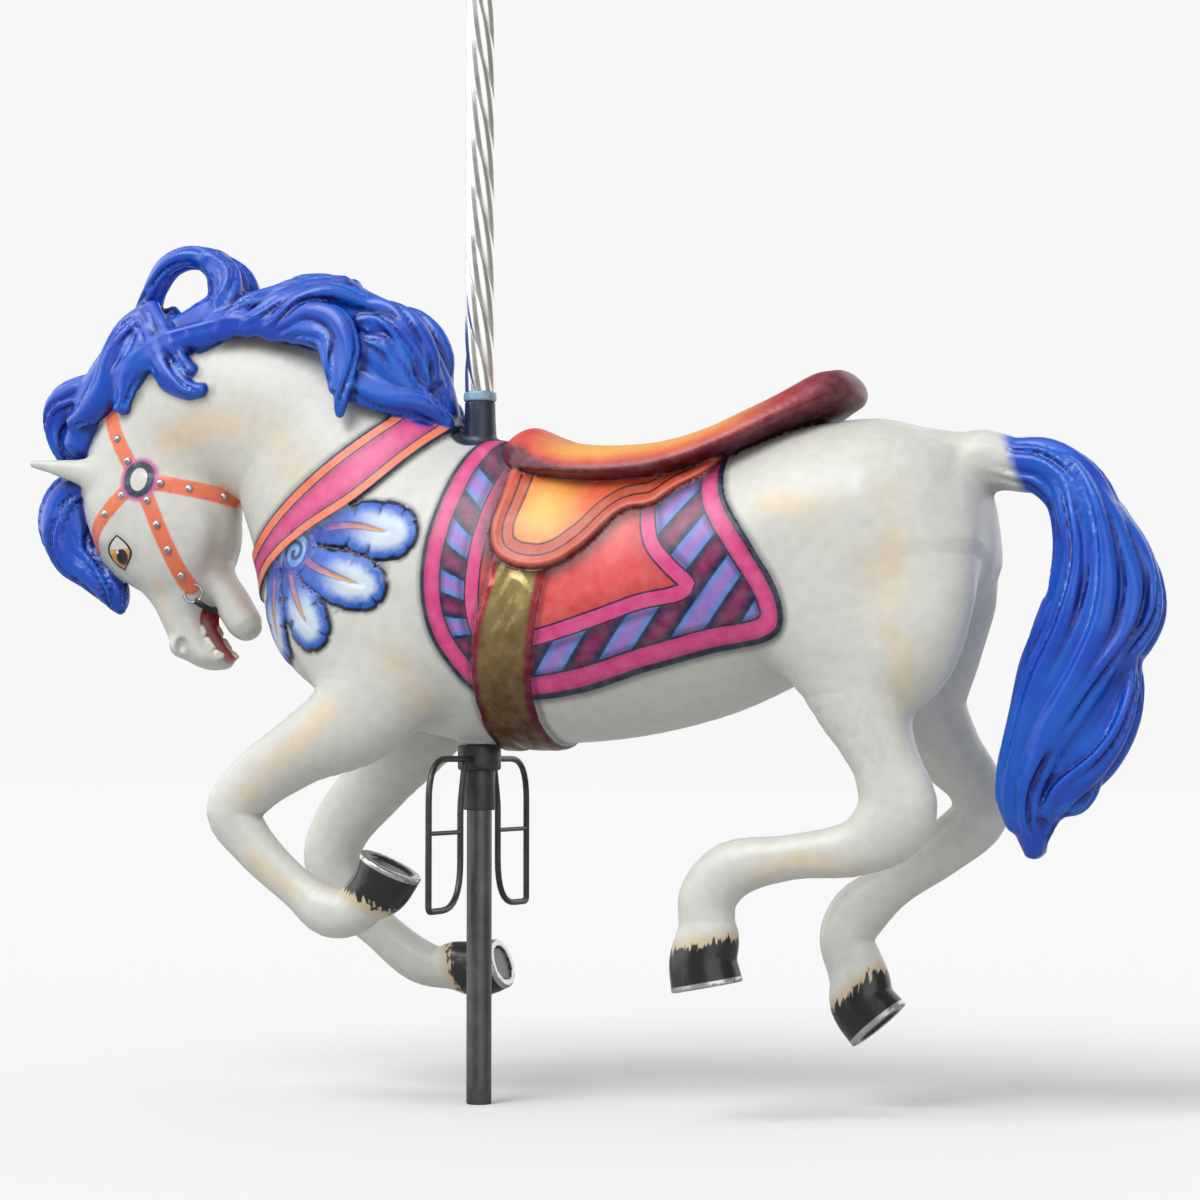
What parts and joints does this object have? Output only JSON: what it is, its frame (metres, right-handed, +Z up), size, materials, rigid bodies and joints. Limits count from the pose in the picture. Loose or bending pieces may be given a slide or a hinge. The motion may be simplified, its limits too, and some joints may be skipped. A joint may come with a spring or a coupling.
{
  "type": "carousel horse on a pole",
  "caption": "Galloping carousel horse with carved mane and tail, saddle and blanket, held on a steel pole with a twisted bright sleeve and a footrest with stirrup loops",
  "frame": {"origin": "centre of the flat lower end of the pole, on the pole's axis", "axes": "+Z runs up the pole, the horse's head looks along -X and its tail is at +X, and its left (near) side is -Y"},
  "size_m": [1.5778, 0.3632, 1.57],
  "materials": {
    "horse_paint": "glass-fibre casting, hand-painted and lacquered, off-white with a blue mane and tail and a pink, orange and blue saddle set",
    "pole_steel": "plain steel pipe, dulled grey",
    "sleeve_chrome": "bright twisted sleeve with rounded ribs",
    "ring_paint": "light blue painted ring",
    "footrest_steel": "dark grey welded round bar and collar, worn semi-gloss"
  },
  "bodies": {
    "root": {"horse": "horse_paint", "steel_pole": "pole_steel", "twisted_sleeve": "sleeve_chrome", "boss_ring": "ring_paint", "footrest": "footrest_steel"}
  },
  "joints": []
}
